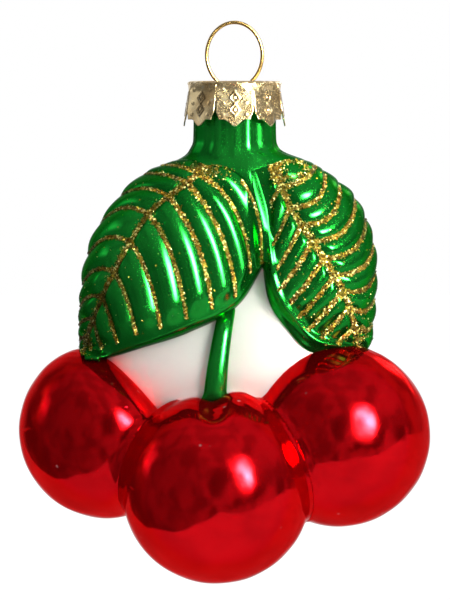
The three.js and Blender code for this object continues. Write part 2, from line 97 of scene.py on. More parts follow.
# Leaves
LEAF_LIFT = 1.5
LEAF_WALL = 0.35
RIB_COUNT = 10
OUTER_RIB = 0.28
RIB_MAX = 1.1
RIB_FADE = 3.2
RIDGE_WIDTH = 0.7
EDGE_WALL = 0.6
LEFT_LEAF = {
    "side": -1,
    "rim": 1.5,
    "fall": (4.0, 2.0, 0.55),
    "inner_rib": 0.28,
    "ridge": 0,
    "glitter": 0.36,
    "rings": [],
    "midrib": [(-5.1, -25.5), (-8.4, -28.4), (-15.2, -34.1), (-21.3, -44.4), (-24.9, -52.8), (-26.9, -59.0)],
    "inner_bend": [(4.6, -23.5), (-0.6, -37.0), (-10.2, -39.3), (-18.6, -48.0), (-24.2, -56.3),
                   (-26.7, -59.7)],
    "inner_edge": [(5.2, -43.4), (0.3, -50.7), (-8.2, -55.2), (-17.0, -58.1), (-23.1, -60.0), (-26.6, -60.2)],
    "outer_bend": [(-7.6, -23.6), (-12.3, -26.3), (-20.0, -30.9), (-25.1, -42.3), (-27.1, -52.7),
                   (-27.6, -59.1)],
    "outer_edge": [-24.6, -26.9, -35.9, -47.1, -54.1, -59.5],
}
RIGHT_LEAF = {
    "side": 1,
    "rim": 2.2,
    "fall": (2.3, 1.2, 1.7),
    "inner_rib": 0.22,
    "ridge": 0.9,
    "glitter": 0.43,
    "rings": [(10.0, -26.0, 2.5, 1.5), (22.2, -55.3, 0.9, 1.1)],
    "midrib": [(6.6, -25.3), (9.8, -32.9), (13.8, -38.8), (17.6, -44.9), (20.4, -50.7), (22.0, -58.0)],
    "inner_bend": [(5.8, -25.2), (9.0, -36.3), (11.4, -43.7), (14.3, -50.0), (17.2, -54.1), (20.8, -59.0)],
    "inner_edge": [(3.0, -26.4), (4.9, -42.6), (6.2, -49.8), (9.3, -54.5), (13.4, -58.6), (19.5, -59.4)],
    "outer_bend": [(9.8, -23.6), (16.8, -32.7), (21.1, -38.8), (24.6, -44.7), (23.7, -52.8), (23.8, -58.7)],
    "outer_edge": [-24.6, -26.2, -31.2, -39.0, -49.2, -58.3],
}

# Glitter
FLAKES_PER_MM = 44
FLAKE_SIZES = (0.11, 0.2)
FLAKE_FLATNESS = 0.16
STRAYS = 240
RING_FLAKES = 90
GLUE_HEIGHT = 0.14

# Cherries
CHERRIES = {
    "left_cherry": (Vector((-22.9, 0, -73.0)), 15.9),
    "right_cherry": (Vector((18.7, -3.5, -73.8)), 16.4),
    "centre_cherry": (Vector((-3.2, -13.0, -82.9)), 16.9),
}
CLEFT_X = -0.04
LOBE_AXIS = (0.32, -0.06, 1)
LOBE_RISE = 1.0
LOBE_WIDTH = 0.3
CLEFT_DEPTH = 1.6
CLEFT_WIDTH = 0.13
CHERRY_WEB = 3.2
SHOULDER_AXIS = (0.75, 0, 0.66)
SHOULDER_DRAW = 0.36

# Stem
STEM_LINE = [(-3.5, -67.3), (-3.2, -60.0), (-1.2, -50.6)]
STEM_FOOT_HALF_WIDTH = 2.1
STEM_TOP_HALF_WIDTH = 1.5
STEM_HALF_DEPTH = 1.4


# Curves and forms of the glass


def smooth_value(pairs, key):
    """A smooth curve through (key, value) pairs, read at many keys at once."""
    points = np.array(sorted(pairs), float)
    keys, values = points[:, 0], points[:, 1]
    at = np.clip(np.asarray(key, float), keys[0], keys[-1])
    i = np.clip(np.searchsorted(keys, at) - 1, 0, len(keys) - 2)
    before = np.clip(np.arange(len(keys)) - 1, 0, len(keys) - 1)
    after = np.clip(np.arange(len(keys)) + 1, 0, len(keys) - 1)
    slope = (values[after] - values[before]) / (keys[after] - keys[before])
    span = keys[i + 1] - keys[i]
    t = (at - keys[i]) / span
    low = (2 * t**3 - 3 * t**2 + 1) * values[i] + (t**3 - 2 * t**2 + t) * span * slope[i]
    high = (3 * t**2 - 2 * t**3) * values[i + 1] + (t**3 - t**2) * span * slope[i + 1]
    return low + high


def smooth_along(values, share):
    return smooth_value([(i / (len(values) - 1), v) for i, v in enumerate(values)], share)


def smooth_step(low, high, value):
    t = np.clip((value - low) / (high - low), 0, 1)
    return t * t * (3 - 2 * t)


def soft_max(a, b, blend=0.8):
    return (a + b + np.sqrt((a - b) ** 2 + blend * blend)) / 2


def lobe(side, z):
    """Middle, half width and swell to the front of a leaf's lobe, by height."""
    reach = smooth_value(LEFT_REACH if side < 0 else RIGHT_REACH, z)
    half_width = (reach - side * VALLEY_X + VALLEY_OVERLAP) / 2
    return side * (reach - half_width), half_width, smooth_value(LEFT_SWELL if side < 0 else RIGHT_SWELL, z)


def lobe_depth(side, x, z):
    """How far a lobe stands to the front; the right one is fuller on its inner half."""
    middle, half_width, swell = lobe(side, z)
    share = np.abs(x - middle) / half_width
    power = np.where((side > 0) & (x < middle), RIGHT_INNER_ROUND, LOBE_ROUND)
    return swell * np.maximum(0, 1 - share**power) ** (1 / power)


def body_middle(z):
    return (smooth_value(RIGHT_REACH, z) - smooth_value(LEFT_REACH, z)) / 2


def body_depth(x, z):
    share = np.abs(x - body_middle(z)) / smooth_value(BODY_REACH, z)
    return smooth_value(BODY_SWELL, z) * np.maximum(0, 1 - share**BODY_ROUND) ** (1 / BODY_ROUND)


def cherry_depth(name, x, z):
    centre, radius = CHERRIES[name]
    inside = radius**2 - (x - centre.x) ** 2 - (z - centre.z) ** 2
    return np.where(inside > 0, np.sqrt(np.maximum(inside, 0)), -radius)


def strip_depth(x, z):
    """The rounded ridge of glass that fills the valley between the leaves."""
    off = x - smooth_value(STRIP_LINE, z)
    return smooth_value(STRIP_TOP, z) - off * off / (2 * STRIP_ROUND)


def leaf_depth(side, x, z):
    on_lobe = lobe_depth(side, x, z)
    on_lobe = on_lobe + (soft_max(on_lobe, strip_depth(x, z), 0.5) - on_lobe) * (on_lobe > 1)
    body = body_depth(x, z)
    over_body = np.where(body > 0, body + LEAF_LIFT, -LEAF_LIFT)
    cherry = cherry_depth("left_cherry", x, z) + LEAF_LIFT if side < 0 else -LEAF_LIFT
    edge = np.minimum(1, on_lobe / LEAF_LIFT)
    return on_lobe + (soft_max(soft_max(on_lobe, over_body), cherry) - on_lobe) * edge


def leaf_flat(leaf, along, across):
    """x and z of a leaf's point: veins run from the midrib past a bend to the leaf's edge."""
    outer = across < 0
    t = np.abs(across)
    edge_z = smooth_along(leaf["outer_edge"], along)
    edge_x = leaf["side"] * smooth_value(LEFT_REACH if leaf["side"] < 0 else RIGHT_REACH, edge_z)
    flat = []
    for axis, outer_edge in ((0, edge_x), (1, edge_z)):
        start = smooth_along([p[axis] for p in leaf["midrib"]], along)
        inner_bend = smooth_along([p[axis] for p in leaf["inner_bend"]], along)
        outer_bend = smooth_along([p[axis] for p in leaf["outer_bend"]], along)
        inner_edge = smooth_along([p[axis] for p in leaf["inner_edge"]], along)
        bend = np.where(outer, outer_bend, inner_bend)
        end = np.where(outer, outer_edge, inner_edge)
        flat.append((1 - t) ** 2 * start + 2 * t * (1 - t) * bend + t * t * end)
    return flat


def leaf_place(leaf, x, z):
    """The along and across of points given by x and z, looked up on a fine net of the leaf."""
    steps = np.linspace(0, 0.99, 160)
    along, across = np.meshgrid(steps, np.linspace(-0.99, 0.99, 220))
    net_x, net_z = leaf_flat(leaf, along.ravel(), across.ravel())
    nearest = [int(np.argmin((net_x - a) ** 2 + (net_z - b) ** 2)) for a, b in zip(x, z)]
    return along.ravel()[nearest], across.ravel()[nearest]


def vein_spacing(leaf, along, across):
    """Distance between neighbouring veins, in mm."""
    step = 0.02
    low = np.clip(along - step, 0, 1)
    high = np.clip(along + step, 0, 1)
    a = leaf_flat(leaf, low, across)
    b = leaf_flat(leaf, high, across)
    return np.hypot(b[0] - a[0], b[1] - a[1]) / (high - low) / RIB_COUNT


def vein_length(leaf, along, across):
    """Straight distance from the midrib to the edge on that side, in mm."""
    end = np.where(across < 0, -1.0, 1.0)
    a = leaf_flat(leaf, along, across * 0)
    b = leaf_flat(leaf, along, end)
    return np.hypot(b[0] - a[0], b[1] - a[1])


def rib_height(leaf, along, across):
    """Height of the rounded ribs, and of the ridge before the rim, over the leaf's bare surface."""
    length = vein_length(leaf, along, across)
    from_midrib = np.abs(across) * length
    from_edge = (1 - np.abs(across)) * length
    inner = across > 0
    rim = leaf["rim"]
    wave = np.abs(np.sin(np.pi * RIB_COUNT * along)) ** 0.8
    rise = np.where(inner, leaf["inner_rib"], OUTER_RIB)
    height = np.minimum(RIB_MAX, rise * vein_spacing(leaf, along, across))
    rib_end = np.where(inner, smooth_step(rim - 0.1, rim + RIB_FADE, from_edge), 1 + 0.45 * across)
    ridge = np.exp(-(((from_edge - rim) / RIDGE_WIDTH) ** 2)) * (leaf["ridge"] * smooth_step(0.1, 0.34, along))
    return height * wave * smooth_step(-0.2, 1.8, from_midrib) * rib_end + np.where(inner, ridge, 0)


def rim_drop(leaf, along, across, over_ground):
    """How far the rim drops: softly at first, and down to the body at the leaf's inner edge."""
    from_edge = (1 - np.abs(across)) * vein_length(leaf, along, across)
    width, power, depth = leaf["fall"]
    soft = np.minimum(depth, over_ground * 0.8) * np.clip(1 - from_edge / width, 0, 1) ** power
    wall = (over_ground - soft) * np.clip(1 - from_edge / EDGE_WALL, 0, 1) ** 1.5
    open_side = smooth_step(0.12, 0.24, along) if leaf["side"] > 0 else 1
    return np.where(across > 0, soft + wall, 0) * open_side


def leaf_point(leaf, along, across, height, facing):
    """Points of the leaf's surface at a height over its bare surface, and their outward direction."""
    flat_x, z = leaf_flat(leaf, along, across)
    middle, half_width, swell = lobe(leaf["side"], z)
    x = middle + np.clip(flat_x - middle, -half_width + 0.01, half_width - 0.01)
    bare = leaf_depth(leaf["side"], x, z)
    body = body_depth(x, z)
    ground = np.where(body > 0, body + 0.4, bare - LEAF_LIFT)
    depth = bare - rim_drop(leaf, along, across, np.maximum(bare - ground, 0))
    out_x = (x - middle) / half_width
    out_y = -bare / swell
    size = np.hypot(out_x, out_y)
    out_x, out_y = out_x / size, out_y / size
    y = np.where(across <= -1, -0.02, np.minimum(-depth + out_y * height, -0.02))
    return np.stack([x + out_x * height, y * facing, z], -1), np.stack([out_x, out_y * facing, 0 * z], -1)


# Mesh helpers


def face_outward(bm, directions):
    """Turns a sheet's faces to the side that the vertices' directions point to."""
    bm.normal_update()
    toward = sum(v.normal.dot(Vector(d)) for v, d in zip(bm.verts, directions))
    if toward < 0:
        bmesh.ops.reverse_faces(bm, faces=bm.faces)


def add_mesh(bm, part):
    """Moves a finished part into the piece that it belongs to."""
    mesh = bpy.data.meshes.new("part")
    part.to_mesh(mesh)
    part.free()
    bm.from_mesh(mesh)
    bpy.data.meshes.remove(mesh)


def round_rod(segments, cuts):
    """A rod of radius 1 and length 1 along Z, cut across, to be bent to a line."""
    bm = bmesh.new()
    bmesh.ops.create_cone(bm, cap_ends=True, segments=segments, radius1=1, radius2=1, depth=1)
    long_edges = [e for e in bm.edges if abs(e.verts[0].co.z - e.verts[1].co.z) > 0.5]
    bmesh.ops.subdivide_edges(bm, edges=long_edges, cuts=cuts, use_grid_fill=True)
    return bm


def move_verts(bm, points):
    for vert, point in zip(bm.verts, points):
        vert.co = point


def new_piece(name, bm, node, material, body="glass", wall=0):
    """Turns a bmesh in mm into a named piece in metres that stands for a CAD node."""
    bmesh.ops.scale(bm, vec=(MM, MM, MM), verts=bm.verts)
    mesh = bpy.data.meshes.new(name)
    bm.to_mesh(mesh)
    bm.free()
    for polygon in mesh.polygons:
        polygon.use_smooth = True
    piece = bpy.data.objects.new(name, mesh)
    bpy.context.scene.collection.objects.link(piece)
    mesh.materials.append(material)
    if wall:
        thicken = piece.modifiers.new("wall", "SOLIDIFY")
        thicken.thickness = wall * MM
        thicken.offset = -1
    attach(piece, body)
    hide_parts(node)
    return piece


# Materials


class Value:
    """A socket that can be reckoned with like a number."""

    def __init__(self, graph, socket):
        self.graph = graph
        self.socket = socket

    def __add__(self, other):
        return self.graph.math("ADD", self, other)

    def __radd__(self, other):
        return self.graph.math("ADD", other, self)

    def __sub__(self, other):
        return self.graph.math("SUBTRACT", self, other)

    def __rsub__(self, other):
        return self.graph.math("SUBTRACT", other, self)

    def __mul__(self, other):
        return self.graph.math("MULTIPLY", self, other)

    def __rmul__(self, other):
        return self.graph.math("MULTIPLY", other, self)

    def __truediv__(self, other):
        return self.graph.math("DIVIDE", self, other)

    def apply(self, operation, *others):
        return self.graph.math(operation, self, *others)

    def clamp(self, low, high):
        return self.apply("MAXIMUM", low).apply("MINIMUM", high)

    def step(self, low, high):
        """0 below low, 1 above high, smooth between."""
        return self.graph.node("ShaderNodeMapRange", {"interpolation_type": "SMOOTHSTEP"},
                               {"Value": self, "From Min": low, "From Max": high})


class Graph:
    """A node tree and the one way its nodes are added."""

    def __init__(self, tree):
        self.tree = tree

    def node(self, kind, settings=None, sockets=None, output=0):
        """Adds a node of a kind; sockets gives its inputs, by name or number, a value or a link."""
        node = self.tree.nodes.new(kind)
        for name, value in (settings or {}).items():
            setattr(node, name, value)
        for name, value in (sockets or {}).items():
            self.link(value, node.inputs[name])
        return Value(self, node.outputs[output])

    def link(self, value, socket):
        if isinstance(value, Value):
            self.tree.links.new(value.socket, socket)
        else:
            socket.default_value = value

    def math(self, operation, *values):
        return self.node("ShaderNodeMath", {"operation": operation}, dict(enumerate(values)))

    def place(self, kind="Object"):
        return self.node("ShaderNodeTexCoord", output=kind)

    def axis(self, vector, name):
        return self.node("ShaderNodeSeparateXYZ", sockets={"Vector": vector}, output=name)

    def noise(self, scale, detail=2.0, place=None):
        sockets = {"Vector": place or self.place(), "Scale": scale, "Detail": detail}
        return self.node("ShaderNodeTexNoise", sockets=sockets)

    def cells(self, scale, output=0):
        sockets = {"Vector": self.place(), "Scale": scale}
        return self.node("ShaderNodeTexVoronoi", sockets=sockets, output=output)

    def away(self, point):
        """Distance from a point given in mm."""
        ends = {0: self.place(), 1: [c * MM for c in point]}
        return self.node("ShaderNodeVectorMath", {"operation": "DISTANCE"}, ends, "Value")

    def mix(self, share, first, second):
        """A mix of two colours."""
        return self.node("ShaderNodeMix", {"data_type": "RGBA"}, {0: share, 6: first, 7: second}, 2)

    def ray(self, kind):
        return self.node("ShaderNodeLightPath", output=f"Is {kind} Ray")

    def glow(self, strength, tint=(1, 1, 1, 1)):
        return self.node("ShaderNodeEmission", sockets={"Color": tint, "Strength": strength})

    def blend(self, share, first, second):
        """A mix of two shaders; a first or second of None is see-through."""
        clear = self.node("ShaderNodeBsdfTransparent") if None in (first, second) else None
        return self.node("ShaderNodeMixShader", sockets={0: share, 1: first or clear, 2: second or clear})


class Finish(Graph):
    """A material with one Principled shader."""

    def __init__(self, name, **constants):
        self.material = bpy.data.materials.new(name)
        self.material.use_nodes = True
        super().__init__(self.material.node_tree)
        self.shader = self.tree.nodes["Principled BSDF"]
        for socket, value in constants.items():
            self.set(socket.replace("_", " "), value)

    def set(self, socket, value):
        self.link(value, self.shader.inputs[socket])

    def bump(self, height, distance, strength):
        sockets = {"Height": height, "Distance": distance, "Strength": strength}
        self.set("Normal", self.node("ShaderNodeBump", sockets=sockets))

    def show(self, surface):
        """Makes the material show another shader than its Principled one."""
        self.link(surface, self.tree.nodes["Material Output"].inputs["Surface"])


def colour(red, green, blue):
    """A display colour, 0 to 255, as the shader's own."""
    linear = [(c / 255 / 12.92) if c < 11 else ((c / 255 + 0.055) / 1.055) ** 2.4 for c in (red, green, blue)]
    return (*linear, 1.0)


LEAF_GREEN = (colour(30, 150, 52), colour(17, 116, 36))
GREEN_SPRAY = -43.6
SPRAY_FADE = 0.8
OVERSPRAY = [((19.6, -10.2, -60.2), 3.4), ((-5.4, -12.6, -66.6), 2.6)]


def mirrored_lacquer(name, light, deep, tarnish, edge, sprays=(), rough=0.07):
    """Clear coloured lacquer over silvered glass: a mirror with a tint and a thin clear coat."""
    finish = Finish(name, Metallic=0.86, Specular_IOR_Level=0, Specular_Tint=edge, Coat_Weight=0.04,
                    Coat_Roughness=0.03)
    cloud = finish.noise(55.0, 3.0)
    streak = finish.noise(240.0)
    speck = 1 - finish.cells(230.0).step(0.05, 0.09)
    tint = finish.mix(cloud.step(0.35, 0.7), light, deep)
    for middle, reach in sprays:
        near = finish.away(middle) + (streak - 0.5) * 0.006
        tint = finish.mix((1 - near.step(reach * 0.3 * MM, reach * MM)) * 0.75, tint, colour(26, 44, 8))
    finish.set("Base Color", finish.mix(speck * streak.step(0.5, 0.62), tint, tarnish))
    finish.set("Roughness", rough + cloud * 0.06 + streak.step(0.45, 0.8) * 0.04)
    waves = finish.noise(70.0, 1.0) * 0.7 + finish.noise(210.0, 1.0) * 0.12
    finish.bump(waves - speck * 0.08, 0.0011, 0.35)
    return finish.material


def pearl_lacquer():
    """Satin white lacquer, with the green of the leaves sprayed over the valley between them."""
    finish = Finish("pearl_white_lacquer", Coat_Weight=0.2, Coat_Roughness=0.2)
    cloud = finish.noise(60.0, 3.0)
    white = finish.mix(cloud.step(0.3, 0.75), colour(214, 217, 212), colour(202, 206, 201))
    up = finish.axis(finish.place(), "Z") + finish.noise(400.0) * 0.0008
    green = up.step(GREEN_SPRAY * MM, (GREEN_SPRAY + SPRAY_FADE) * MM)
    finish.set("Base Color", finish.mix(green, white, LEAF_GREEN[1]))
    finish.set("Metallic", green)
    finish.set("Roughness", 0.42 + cloud * 0.1 - green * 0.34)
    finish.bump(finish.noise(90.0, 1.0), 0.0008, 0.2)
    return finish.material


def gold_flakes():
    """Metal flakes, each with a tone of its own from a fine net of cells."""
    finish = Finish("gold_glitter_flakes", Metallic=1.0)
    cells = finish.cells(3400.0, "Color")
    tone, other = (finish.node("ShaderNodeSeparateColor", sockets={"Color": cells}, output=i) for i in (0, 1))
    dark = finish.mix(tone.step(0.05, 0.45), colour(46, 44, 8), colour(124, 110, 38))
    light = finish.mix(tone.step(0.76, 0.97), dark, colour(246, 236, 160))
    finish.set("Base Color", finish.mix(other.step(0.8, 0.86), light, colour(126, 90, 28)))
    finish.set("Roughness", 0.25 + other * 0.3)
    finish.bump(tone, 0.0002, 0.9)
    return finish.material


def groove_shade_lines(finish):
    """Painted shade in the grooves of the lozenges: two dark lines round each, placed as in petal_stamp."""
    x, y, z = (finish.axis(finish.place(), name) for name in "XYZ")
    turn = x.apply("ARCTAN2", 0 - y) * (PETAL_COUNT / (2 * math.pi))
    turn = (turn - turn.apply("ROUND")) * (2 * math.pi / PETAL_COUNT)
    down = z / -MM - RING_SHOW
    across = (turn * (down * 0.13 + CAP_TOP_RADIUS)).apply("ABSOLUTE")
    lines = 0
    for middle in LOZENGES:
        d = across / LOZENGE_HALF_WIDTH + (down - middle).apply("ABSOLUTE") / LOZENGE_HALF_HEIGHT
        outer_line = d.step(0.86, 0.98) * (1 - d.step(1.1, 1.26))
        lines = lines + outer_line + d.step(0.36, 0.48) * (1 - d.step(0.6, 0.74))
    return lines


def gold_sheet():
    finish = Finish("stamped_cap_sheet", Metallic=1.0)
    cloud = finish.noise(160.0, 4.0)
    wear = finish.noise(900.0, 3.0)
    plate = finish.mix(cloud.step(0.35, 0.7), colour(224, 202, 156), colour(204, 170, 116))
    sheet = finish.mix(wear.step(0.58, 0.75), plate, colour(214, 204, 180))
    # The lozenge grooves are darkened here with painted shade, brown over the gold sheet.
    finish.set("Base Color", finish.mix(groove_shade_lines(finish) * 0.8, sheet, colour(96, 72, 40)))
    finish.set("Roughness", 0.23 + wear * 0.08)
    finish.bump(wear * 0.6 + finish.noise(2600.0) * 0.4, 0.00002, 0.3)
    return finish.material


def gold_wire():
    finish = Finish("bright_gold_wire", Metallic=1.0)
    cloud = finish.noise(300.0, 3.0)
    finish.set("Base Color", finish.mix(cloud.step(0.35, 0.7), colour(196, 162, 98), colour(168, 130, 68)))
    finish.set("Roughness", 0.22 + cloud * 0.12)
    finish.bump(finish.noise(1800.0), 0.00004, 0.3)
    return finish.material


RED = mirrored_lacquer("clear_red_lacquer", colour(210, 8, 19), colour(188, 6, 16), colour(236, 150, 150),
                       colour(226, 140, 140), OVERSPRAY)
GREEN = mirrored_lacquer("clear_green_lacquer", *LEAF_GREEN, colour(8, 64, 24), colour(20, 120, 50),
                         rough=0.17)
WHITE = pearl_lacquer()
GLITTER = gold_flakes()
CAP_SHEET = gold_sheet()
WIRE = gold_wire()


# Pieces


def ring_angle_at_cap():
    centre = WIRE_RADIUS - RING_HALF_HEIGHT
    return math.acos((-RING_SHOW - centre) / RING_HALF_HEIGHT)


def make_wire():
    """The sprung wire: an oval loop over the cap and two legs that spread inside the neck."""
    centre = WIRE_RADIUS - RING_HALF_HEIGHT
    end_angle = ring_angle_at_cap()
    half = []
    for i in range(33):
        angle = end_angle * i / 32
        half.append((RING_HALF_WIDTH * math.sin(angle), centre + RING_HALF_HEIGHT * math.cos(angle)))
    slot_x = half[-1][0]
    half.append((slot_x - 0.1, -RING_SHOW - 0.7))
    half.append((slot_x + 0.1, -RING_SHOW - 2.0))
    half.append(((slot_x + LEG_SPREAD) / 2, -RING_SHOW - LEG_LENGTH / 2))
    half.append((LEG_SPREAD, -RING_SHOW - LEG_LENGTH))
    route = np.array([(-x, z) for x, z in reversed(half[1:])] + half)
    length = np.concatenate([[0], np.cumsum(np.hypot(*np.diff(route, axis=0).T))])
    bm = round_rod(20, 220)
    x_along = list(zip(length, route[:, 0]))
    z_along = list(zip(length, route[:, 1]))
    step = 0.02
    for vert in bm.verts:
        at = (vert.co.z + 0.5) * length[-1]
        x, z = float(smooth_value(x_along, at)), float(smooth_value(z_along, at))
        dx = float(smooth_value(x_along, at + step) - smooth_value(x_along, at - step))
        dz = float(smooth_value(z_along, at + step) - smooth_value(z_along, at - step))
        across = Vector((dz, 0, -dx)).normalized()
        vert.co = Vector((x, 0, z)) + (across * vert.co.x + Vector((0, vert.co.y, 0))) * WIRE_RADIUS
    bmesh.ops.recalc_face_normals(bm, faces=bm.faces)
    new_piece("hanger_loop_wire", bm, "hanger_wire", WIRE, "hanger")


def petal_edge(share):
    """How far a petal's lower edge hangs below its sides: a bracket shape with a point."""
    return PETAL_DROP * (1 - smooth_step(0, 0.75, share)) ** 1.3


def petal_stamp(a, b):
    """Height of the stamped lozenges and of the dots beside them, a mm across and b mm below the top."""
    height = 0 * a
    for middle in LOZENGES:
        d = np.abs(a) / LOZENGE_HALF_WIDTH + np.abs(b - middle) / LOZENGE_HALF_HEIGHT
        height = height + 0.12 * smooth_step(1.15, 0.95, d) - 0.17 * smooth_step(0.8, 0.62, d)
        height = height + 0.13 * smooth_step(0.5, 0.2, d)
    for middle in (1.6, 4.0, 6.0):
        for side in (-1, 1):
            d = np.hypot(a - side * 2.05, b - middle)
            height = height + 0.07 * smooth_step(0.42, 0.1, d)
    return height


def make_cap():
    """The stamped cap: a top with a beaded shoulder and eight embossed petals."""
    bm = bmesh.new()
    pitch = 2 * math.pi / PETAL_COUNT
    top = -RING_SHOW
    for petal in range(PETAL_COUNT):
        sheet = bmesh.new()
        bmesh.ops.create_grid(sheet, x_segments=44, y_segments=54, size=0.5)
        co = np.array([v.co for v in sheet.verts])
        u, v = co[:, 0] * 2, 0.5 - co[:, 1]
        share = np.abs(u)
        depth = CAP_SHOULDER * 0.85 + v * (CAP_HEIGHT - CAP_SHOULDER * 0.85 + petal_edge(share))
        radius = CAP_TOP_RADIUS + (CAP_SKIRT_RADIUS - CAP_TOP_RADIUS) * (depth / CAP_HEIGHT) ** 1.2
        slit = 0.03 + 0.16 * smooth_step(1.6, 5.4, depth) + 0.55 * smooth_step(5.2, CAP_HEIGHT, depth)
        half = radius * pitch / 2 - slit
        across = u * half
        turn = across / (half + slit) * pitch / 2
        flat = math.cos(pitch / 2) / np.cos(turn) + 0.04
        radius = radius * (1 + (flat - 1) * 0.88 * smooth_step(0.6, 2.0, depth))
        dent = 0.035 * np.sin(across * 1.3 + petal * 1.7) * np.sin(depth * 0.9 + petal * 2.1)
        radius = radius + dent + petal_stamp(across, depth)
        angle = petal * pitch + turn
        for vert, r, a, d in zip(sheet.verts, radius, angle, depth):
            vert.co = (r * math.sin(a), -r * math.cos(a), top - d)
        face_outward(sheet, [(v.co.x, v.co.y, 0) for v in sheet.verts])
        add_mesh(bm, sheet)
    lid = bmesh.new()
    bmesh.ops.create_grid(lid, x_segments=192, y_segments=20, size=0.5)
    co = np.array([v.co for v in lid.verts])
    angle, t = co[:, 0] * 2 * math.pi, co[:, 1] + 0.5
    inner = 0.02
    round_start = CAP_TOP_RADIUS - CAP_SHOULDER
    flat = np.minimum(t / 0.5, 1)
    bend = np.clip((t - 0.5) / 0.5, 0, 1) * math.pi / 2
    radius = inner + flat * (round_start - inner) + CAP_SHOULDER * np.sin(bend)
    z = top - CAP_SHOULDER * (1 - np.cos(bend))
    marks = np.sin(angle * 31) + 0.6 * np.sin(angle * 47 + 1) + 0.5 * np.sin(angle * 13)
    bead = np.sin(bend) ** 2 * (0.16 + 0.13 * marks * np.cos(bend))
    for vert, r, a, h, b in zip(lid.verts, radius, angle, z, bead):
        vert.co = ((r + b) * math.sin(a), -(r + b) * math.cos(a), h + b * 0.5)
    bmesh.ops.remove_doubles(lid, verts=lid.verts, dist=0.001)
    slot_x = RING_HALF_WIDTH * math.sin(ring_angle_at_cap())
    slots = [f for f in lid.faces if abs(abs(f.calc_center_median().x) - slot_x) < 0.75
             and abs(f.calc_center_median().y) < 0.5]
    bmesh.ops.delete(lid, geom=slots, context="FACES")
    face_outward(lid, [(v.co.x, v.co.y, 5) for v in lid.verts])
    add_mesh(bm, lid)
    new_piece("stamped_crown_cap", bm, "crown_cap", CAP_SHEET, "cap", CAP_WALL)


def make_neck():
    """The fluted neck and the shoulder under it, which widens between the leaves and carries the strip."""
    bm = bmesh.new()
    heights = np.linspace(NECK_TOP, SHOULDER_BOTTOM, 80)
    verts = [bm.verts.new((1, 0, z)) for z in heights]
    edges = [bm.edges.new(pair) for pair in zip(verts, verts[1:])]
    bmesh.ops.spin(bm, geom=verts + edges, cent=(0, 0, 0), axis=(0, 0, 1), angle=2 * math.pi, steps=192,
                   use_merge=True, use_duplicate=False)
    bmesh.ops.remove_doubles(bm, verts=bm.verts, dist=0.001)
    for vert in bm.verts:
        x, y, z = vert.co
        angle = math.atan2(y, x)
        flutes = float(smooth_step(-25.5, -22.5, z))
        wave = flutes * (0.14 * math.sin(angle * 9 + 0.6) + 0.08 * math.sin(angle * 16 + 2))
        wide = float(smooth_value(SHOULDER_WIDE, z)) + wave
        deep = float(smooth_value(SHOULDER_DEEP, z)) + wave
        lean = float(body_middle(z) * smooth_step(-22.2, -24.4, z))
        strip = float(strip_depth(x * wide + lean, z)) - STRIP_OVER_NECK
        depth = abs(y) * deep
        depth += (float(soft_max(depth, strip, 0.4)) - depth) * min(1, 3 * abs(y)) * (z < -23)
        vert.co = (x * wide + lean, math.copysign(depth, y), z)
    face_outward(bm, [(v.co.x, v.co.y, 0) for v in bm.verts])
    new_piece("lacquered_neck", bm, "glass_neck", GREEN, "glass", GLASS_WALL)


def near_cherry_rise(points, names):
    """How far the body's glass is drawn out where it runs into a cherry, as a soft web."""
    rise = np.zeros(len(points))
    for name in names:
        centre, radius = CHERRIES[name]
        gap = np.linalg.norm(points - np.array(centre), axis=1) - radius
        web = BODY_WEB_HEIGHT * np.clip(1 - np.abs(gap) / BODY_WEB_WIDTH, 0, 1) ** 2
        rise = np.maximum(rise, web)
    return rise


def webbed(points, centre, outward, names):
    """Draws a cherry's surface out where it meets its neighbours, so that they run together smoothly."""
    start = np.linalg.norm(points - centre, axis=1)
    rise = np.zeros(len(points))
    for name in names:
        far, far_radius = CHERRIES[name]
        web = np.zeros(len(points))
        for _ in range(12):
            at = centre + outward * (start + web)[:, None]
            gap = np.linalg.norm(at - np.array(far), axis=1) - far_radius - web
            web = CHERRY_WEB / 4 * np.clip(1 - np.maximum(gap, 0) / CHERRY_WEB, 0, 1) ** 2
        rise = np.maximum(rise, web)
    return points + outward * rise[:, None]


def make_body():
    """The white body: a rounded box of glass that narrows to the middle cherry."""
    bm = bmesh.new()
    bmesh.ops.create_grid(bm, x_segments=144, y_segments=110, size=0.5)
    co = np.array([v.co for v in bm.verts])
    angle = co[:, 0] * 2 * math.pi
    z = BODY_TOP + (0.5 - co[:, 1]) * (BODY_BOTTOM - BODY_TOP)

    def rounded(value):
        return np.sign(value) * np.abs(value) ** (2 / BODY_ROUND)

    x = smooth_value(BODY_REACH, z) * rounded(np.cos(angle))
    y = smooth_value(BODY_SWELL, z) * rounded(np.sin(angle))
    points = np.stack([body_middle(z) + x, y, z], -1)
    outward = np.stack([x, y * 2, 0 * z], -1)
    outward /= np.maximum(np.linalg.norm(outward, axis=1, keepdims=True), 1e-6)
    points += outward * near_cherry_rise(points, ["centre_cherry", "right_cherry"])[:, None]
    move_verts(bm, points)
    bmesh.ops.remove_doubles(bm, verts=bm.verts, dist=0.001)
    face_outward(bm, [(v.co.x - body_middle(v.co.z), v.co.y, 0) for v in bm.verts])
    new_piece("pearl_body", bm, "white_body", WHITE, "glass", GLASS_WALL)


def lumps(points, up):
    """The slight unevenness of blown glass, stronger at the top of a cherry."""
    x, y, z = points.T
    slow = np.sin(0.62 * x + 0.4 * z + 1) * np.sin(0.55 * z - 0.5 * y) + np.sin(0.9 * y + 0.7 * x) * 0.5
    quick = np.sin(1.9 * x + 0.8 * y) * np.sin(1.7 * z + 1.3 * y + 2)
    return 0.035 * slow + 0.045 * quick * smooth_step(0.72, 0.95, up)


